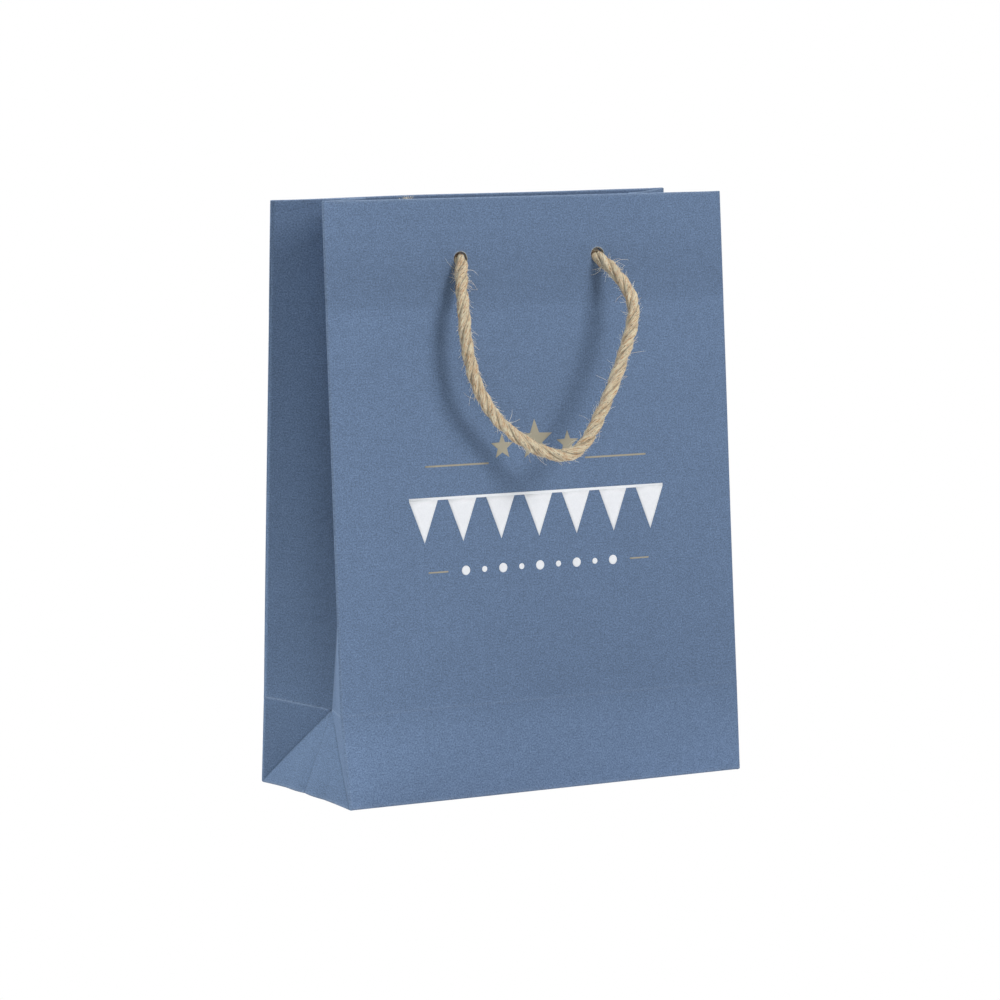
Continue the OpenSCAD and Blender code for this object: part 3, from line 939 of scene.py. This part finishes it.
def rope_mesh(name, line, at, radius, sides=64, seed=0, phase=0.0, shaded=0.0):
    """A rope of three twisted strands swept along a line, with closed ends.

    The stretch of the given length at each end gets painted shade, where it lies inside a hole.
    """
    random = np.random.default_rng(seed)
    across, other = frames_along(line)
    waves = random.uniform(0, 2 * math.pi, (6, 2))
    angles = np.arange(sides) * 2 * math.pi / sides
    points, lay, groove = [], [], []
    for place, s, a, b in zip(line, at, across, other):
        twist = 2 * math.pi * s / PITCH + 0.25 * math.sin(s / 9 + waves[0, 0]) + phase
        swell = 1 + 0.03 * math.sin(s / 3.1 + waves[1, 0]) + 0.025 * math.sin(s / 1.7 + waves[2, 0])
        turn = angles - twist
        shape, deep = lobed_radius(turn, 0.645 * radius, 0.375 * radius)
        strand = np.round(turn / (2 * math.pi / 3))
        fibre = sum(
            height * np.sin(number * turn + sway * np.sin(pace * s + wave[0]) + shift * strand + wave[1])
            for (height, number, sway, pace, shift), wave in zip(RIDGES, waves[3:])
        )
        reach = shape * swell + fibre
        points += list(place + np.outer(reach * np.cos(angles), a) + np.outer(reach * np.sin(angles), b))
        lay += list(np.stack([
            radius * np.cos(turn) + 7 * strand, radius * np.sin(turn), np.full(sides, s),
        ], axis=1))
        # painted shade in the grooves between strands, and stronger on the stretch inside each hole
        groove += list(deep + 3 * step_between(shaded, shaded - 0.8, min(s, at[-1] - s)))
    rings = [range(k * sides, (k + 1) * sides) for k in range(len(line))]
    faces = [face for pair in zip(rings, rings[1:]) for face in ring_faces(*pair)]
    for end, ring in ((line[0], rings[0][::-1]), (line[-1], rings[-1])):
        centre = len(points)
        points.append(end)
        lay.append((0, 0, at[0]))
        groove.append(0.3)
        faces += [(centre, ring[k - 1], ring[k]) for k in range(sides)]
    piece = new_piece(name, points, faces, lay=lay, groove=groove)
    piece.data.materials.append(jute)
    return piece


def hair_mesh(name, roots):
    """Stray fibres: thin curved hairs. Each root is (place, direction, length, radius, curl, side)."""
    points, faces, lay = [], [], []
    for place, direction, length, radius, curl, side in roots:
        steps = max(4, int(length / 0.6))
        place, direction = np.array(place, float), np.array(direction, float)
        bend = np.cross(direction, side)
        before = None
        for k in range(steps + 1):
            u = unit(np.cross(direction, [0.31, 0.87, 0.4]))
            v = np.cross(direction, u)
            thick = radius * (1 - 0.6 * k / steps)
            ring = range(len(points), len(points) + 3)
            for corner in range(3):
                angle = 2 * math.pi * corner / 3
                points.append(place + thick * (math.cos(angle) * u + math.sin(angle) * v))
                lay.append((radius * 400, 0.3 * corner, k))
            faces += ring_faces(before, ring) if before else [tuple(reversed(ring))]
            before = ring
            place = place + direction * length / steps
            direction = unit(direction + bend * curl / steps)
        faces.append(tuple(before))
    piece = new_piece(name, points, faces, lay=lay)
    piece.data.materials.append(jute_pale)
    return piece


def spots_round(random, line, count, margin):
    """Random spots on a rope: the index along it, the way out from it and the way along it."""
    across, other = frames_along(line)
    tangents = np.cross(across, other)
    for _ in range(count):
        k = random.integers(margin, len(line) - margin)
        angle = random.uniform(0, 2 * math.pi)
        yield k, math.cos(angle) * across[k] + math.sin(angle) * other[k], tangents[k]


def stray_fibres(line, radius, count, seed, long_share=0.12):
    """Roots of hairs all along a rope: mostly short fuzz in clumps, with a few long loose ones."""
    random = np.random.default_rng(seed)
    steps = np.arange(len(line))
    clumps = np.sin(steps / 8.3 + seed) + np.sin(steps / 21.7 + 2 * seed) + np.sin(steps / 3.9)
    roots = []
    for k, out, onward in spots_round(random, line, count, 1):
        lean = random.uniform(-1.4, 1.4)
        if random.uniform(-1.8, 1.2) > clumps[k]:
            continue
        long = random.random() < long_share
        length = random.uniform(2.5, 7.5) if long else random.uniform(0.4, 1.5)
        curl = random.choice([-1, 1]) * (random.uniform(1.6, 4.2) if long else random.uniform(0.3, 1.8))
        thick = random.uniform(0.05, 0.08)
        side = unit(random.normal(size=3))
        direction = unit(out + lean * onward)
        roots.append((line[k] + out * radius * 0.86, direction, length, thick, curl, side))
    return roots


def lying_fibres(line, radius, count, seed):
    """Roots of hairs that lie along the strands and lift off a little at their ends."""
    random = np.random.default_rng(seed)
    roots = []
    for k, out, onward in spots_round(random, line, count, 2):
        around = np.cross(onward, out)
        direction = onward + random.uniform(0.0, 0.9) * around + random.uniform(0.0, 0.12) * out
        direction *= random.choice([-1, 1]) if random.random() < 0.3 else 1
        place = line[k] + out * radius * random.uniform(0.9, 0.99)
        length, thick, curl = (random.uniform(*ends) for ends in ((1.6, 4.2), (0.05, 0.08), (0.5, 1.1)))
        roots.append((place, unit(direction + 0.1 * out), length, thick, curl, -around))
    return roots


def rope_fibres(line, seed):
    """Fuzz all along a handle, and a tuft outside each hole where the rope has been rubbed."""
    fuzz = stray_fibres(line[12:-12], ROPE_R, 1700, seed, long_share=0.06)
    tufts = stray_fibres(line[16:34], ROPE_R, 280, seed + 1, long_share=0.14)
    tufts += stray_fibres(line[-32:-14], ROPE_R, 170, seed + 2, long_share=0.22)
    return fuzz + tufts + lying_fibres(line[12:-12], ROPE_R, 650, seed + 3)


# An overhand knot and its tail, from the inner face: inward, across and up
KNOT = [
    [-1, 0, 0], [1.5, 0, 0], [4.6, 1.6, 1.6], [6.0, 3.6, -0.8], [4.4, 2.6, -3.6], [2.3, -1.4, -3.9],
    [2.2, -3.9, -0.6], [2.7, -2.2, 3.3], [4.7, 1.2, 3.9], [6.6, 1.8, 0.8], [6.9, 0.4, -2.6],
]
TAIL_DOWN = [[6.6, -0.6, -6.5], [5.8, -1.3, -10.5], [5.4, -1.6, -14.5]]
TAIL_UP = [[6.6, 3.2, -3.2], [6.4, 5.0, 0.5], [5.6, 4.2, 6], [4.6, 1.0, 12], [3.8, -1.6, 21.6]]
INNER_FACE = CARD_GAP + PAPER / 2  # from the middle of the panel's paper
KNOT_ROPE_R = 2.25  # pulled tight, so a little thinner


def add_knot(name, x, flip_y, tail, seed):
    """A knot inside a panel, with the frayed end of its tail."""
    depth, across, up = np.array(KNOT + tail, float).T
    place = panel_points(x + across, HOLE_V + up, INNER_FACE + depth)
    line, at = smooth_route(mirrored(place, False, flip_y), 0.5)
    knot = rope_mesh(name + "_jute", line, at, KNOT_ROPE_R, sides=36, seed=seed, phase=seed)
    random = np.random.default_rng(seed + 50)
    roots = stray_fibres(line, 2.2, 60, seed)
    away = unit(line[-1] - line[-4])
    for _ in range(90):  # the frayed end
        spot = random.normal(size=3)
        spot -= away * np.dot(spot, away)
        spot *= random.uniform(0, 1.9) / np.linalg.norm(spot)
        direction = unit(away + 0.22 * spot + 0.12 * random.normal(size=3))
        side = unit(random.normal(size=3))
        length, thick, curl = (random.uniform(*ends) for ends in ((1.2, 3.6), (0.05, 0.09), (-0.8, 0.8)))
        roots.append((line[-1] + spot - away * 0.4, direction, length, thick, curl, side))
    fray = hair_mesh(name + "_fibres", roots)
    body = name.split("_")[0] + "_panel"
    for piece in (knot, fray):
        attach(piece, body)
    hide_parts(name)
    return [knot, fray]


def neck_route(x, drop):
    """From inside the knot out through the hole, a drop below its middle."""
    inward = np.array([0, math.cos(PANEL_LEAN), -math.sin(PANEL_LEAN)])
    stops = ((3.0, 0.1), (1.6, 0.0), (0.4, -0.2))  # depth and rise
    return [FACE + [x - 0.25, 0, rise - drop] + inward * depth for depth, rise in stops]


def add_handle(side, flip_y, seed):
    """A rope handle from knot to knot, with its fibres."""
    loop = [FACE + p for p in np.array(LOOP, float)]
    route = neck_route(-HOLE_X, -0.1) + loop + neck_route(HOLE_X, 0.5)[::-1]
    line, at = smooth_route(mirrored(route, False, flip_y), 0.55)
    rope = rope_mesh(side + "_rope_jute", line, at, ROPE_R, seed=seed, shaded=3.0)
    hairs = hair_mesh(side + "_rope_fibres", rope_fibres(line, seed + 7))
    for piece in (rope, hairs):
        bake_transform(piece)
    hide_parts(side + "_rope", side + "_neck_left", side + "_neck_right")
    left_tail = TAIL_UP if flip_y else TAIL_DOWN  # the photo shows the rear left one standing up
    pieces = [hairs]
    for end, x, tail in (("left", -HOLE_X, left_tail), ("right", HOLE_X, TAIL_DOWN)):
        pieces += add_knot(f"{side}_knot_{end}", x, flip_y, tail, seed + int(x))
    mirrored(FACE + [-HOLE_X, 0, 0], False, flip_y) * MM


add_handle("front", False, 101)
add_handle("rear", True, 202)


# ---------- Printed ornament on the front panel: plain pennants, dots, rules and stars ----------

INK = 0.03


def print_on_panel(name, shapes, ink):
    """Shapes are outlines in (x, z) on the front of the bag. Each becomes a thin film of ink."""
    points, faces = [], []
    for outline in shapes:
        outline = np.array(outline, float)
        n = len(outline)
        centre = outline.mean(axis=0)
        rings = []
        for share in (1.0, 0.66, 0.33):
            rings.append(list(range(len(points), len(points) + n)))
            points += list(centre + (outline - centre) * share)
        middle = len(points)
        points.append(centre)
        for outer, inner in zip(rings, rings[1:]):
            faces += ring_faces(outer, inner)
        faces += [(a, b, middle) for a, b in zip(inner, inner[1:] + inner[:1])]
    x, z = np.array(points).T
    v = (z - CREASE_Z) / math.cos(PANEL_LEAN)
    place = settle(panel_surface(x, v, lift=PAPER / 2 + INK * 0.8))
    film = new_piece(name, place, faces, flat=np.column_stack([x, v, np.full(len(x), 5)]))
    thicken(film, INK, ink)
    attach(film, "front_panel")


def bar(x0, x1, z0, z1):
    """A plain bar, with points close enough together to follow the paper."""
    xs = np.linspace(x0, x1, max(2, int((x1 - x0) / 3)))
    return [(x, z0) for x in xs] + [(x, z1) for x in reversed(xs)]


def disc(x, z, radius, points=28):
    angles = np.linspace(0, 2 * math.pi, points, False)
    return [(x + radius * math.cos(a), z + radius * math.sin(a)) for a in angles]


def star(x, z, radius):
    """A plain five-pointed star."""
    tips = [(radius if k % 2 == 0 else radius * 0.42, math.pi * k / 5) for k in range(10)]
    return [(x + r * math.sin(a), z + r * math.cos(a)) for r, a in tips]


def pennant(x, top, width, height):
    """A small flag with a straight top edge and a point below."""
    left = [(x - width / 2 * (1 - t), top - height * t) for t in (0, 0.33, 0.66)]
    right = [(x + width / 2 * (1 - t), top - height * t) for t in (0.66, 0.33, 0)]
    return left + [(x, top - height)] + right


STRING_Z = 119.8  # the pennants hang from here
DOTS_Z = 91


def add_ornament():
    """A string of pennants over a row of dots in white, and rules, dashes and stars in pale gold."""
    pennants = [pennant(17.6 * k, STRING_Z, 13, 17) for k in range(-3, 4)]
    string = [bar(-59.3, 59.3, STRING_Z, STRING_Z + 1.1)]
    dots = [disc(8.6 * k, DOTS_Z, 1.9 if k % 2 == 0 else 1.2) for k in range(-4, 5)]
    rules = [bar(sign * 37 - 14.5, sign * 37 + 14.5, 132.9, 133.6) for sign in (-1, 1)]
    dashes = [bar(sign * 47 - 4.5, sign * 47 + 4.5, 90.7, 91.3) for sign in (-1, 1)]
    stars = [star(-0.8, 141.5, 8.6), star(-16, 139.5, 5.4), star(14.4, 139.5, 5.4)]
    print_on_panel("print_pennants", pennants + string, white_ink)
    print_on_panel("print_dots", dots, white_ink)
    print_on_panel("print_rules", rules + dashes, gold_ink)
    print_on_panel("print_stars", stars, gold_ink)


add_ornament()


# ---------- Stage: pale floor and soft studio light ----------

WHITE = (1.0, 1.0, 1.0, 1.0)


def add_floor():
    """A pale ground that shows as plain white to the camera, like a cut-out ground."""
    cells = np.linspace(-6000, 6000, 13)
    points = [(x, y, 0) for y in cells for x in cells]
    floor = new_piece("floor", points, grid_faces(len(cells), len(cells)))
    s = Shader("floor", roughness=0.95, specular=0.1)
    place = s.node("ShaderNodeTexCoord").outputs["Object"]
    grain = s.remap(s.noise(place, 3.0), 0, 1, 0.995, 1.005)
    floor.data.materials.append(s.finish(s.times((0.9, 0.9, 0.905, 1), grain)))
    white = s.node("ShaderNodeEmission", {"Color": WHITE, "Strength": 1.0}).outputs["Emission"]
    seen = s.node("ShaderNodeLightPath").outputs["Is Camera Ray"]
    mix = s.node("ShaderNodeMixShader", {0: seen, 1: s.surface.outputs["BSDF"], 2: white})
    s.put(s.tree.nodes["Material Output"].inputs["Surface"], mix.outputs["Shader"])


def add_area_light(name, place, aim, size, power, colour=(1, 1, 1)):
    """A square light aimed at a point. Places and sizes are in metres, and power in watts."""
    data = bpy.data.lights.new(name, "AREA")
    data.shape = "SQUARE"
    data.size = size
    data.energy = power
    data.color = colour
    light = bpy.data.objects.new(name, data)
    light.location = place
    light.rotation_mode = "QUATERNION"
    light.rotation_quaternion = (Vector(aim) - Vector(place)).to_track_quat("-Z", "Y")
    bpy.context.scene.collection.objects.link(light)


def add_world():
    """White studio surroundings: bright to the eye, softer as a light."""
    world = bpy.data.worlds.new("studio")
    world.use_nodes = True
    bpy.context.scene.world = world
    nodes, links = world.node_tree.nodes, world.node_tree.links
    glow, seen = nodes["Background"], nodes.new("ShaderNodeBackground")
    for node, strength in ((glow, 0.05), (seen, 1.0)):
        node.inputs["Color"].default_value = WHITE
        node.inputs["Strength"].default_value = strength
    path = nodes.new("ShaderNodeLightPath")
    mix = nodes.new("ShaderNodeMixShader")
    links.new(path.outputs["Is Camera Ray"], mix.inputs["Fac"])
    links.new(glow.outputs["Background"], mix.inputs[1])
    links.new(seen.outputs["Background"], mix.inputs[2])
    links.new(mix.outputs["Shader"], nodes["World Output"].inputs["Surface"])


add_floor()
add_world()
add_area_light("key", (0.45, -1.38, 0.98), (0, 0, 0.13), 0.62, 15.4)
add_area_light("overhead", (-0.1, 0, 2.4), (-0.1, 0, 0), 1.4, 33.5, (0.97, 1, 1))
add_area_light("rear_left", (-0.74, 1.05, 1.33), (-0.08, 0, 0.1), 0.5, 29.5, (0.96, 1, 1))
bpy.context.scene.view_settings.view_transform = "Standard"
bpy.context.scene.view_settings.look = "None"
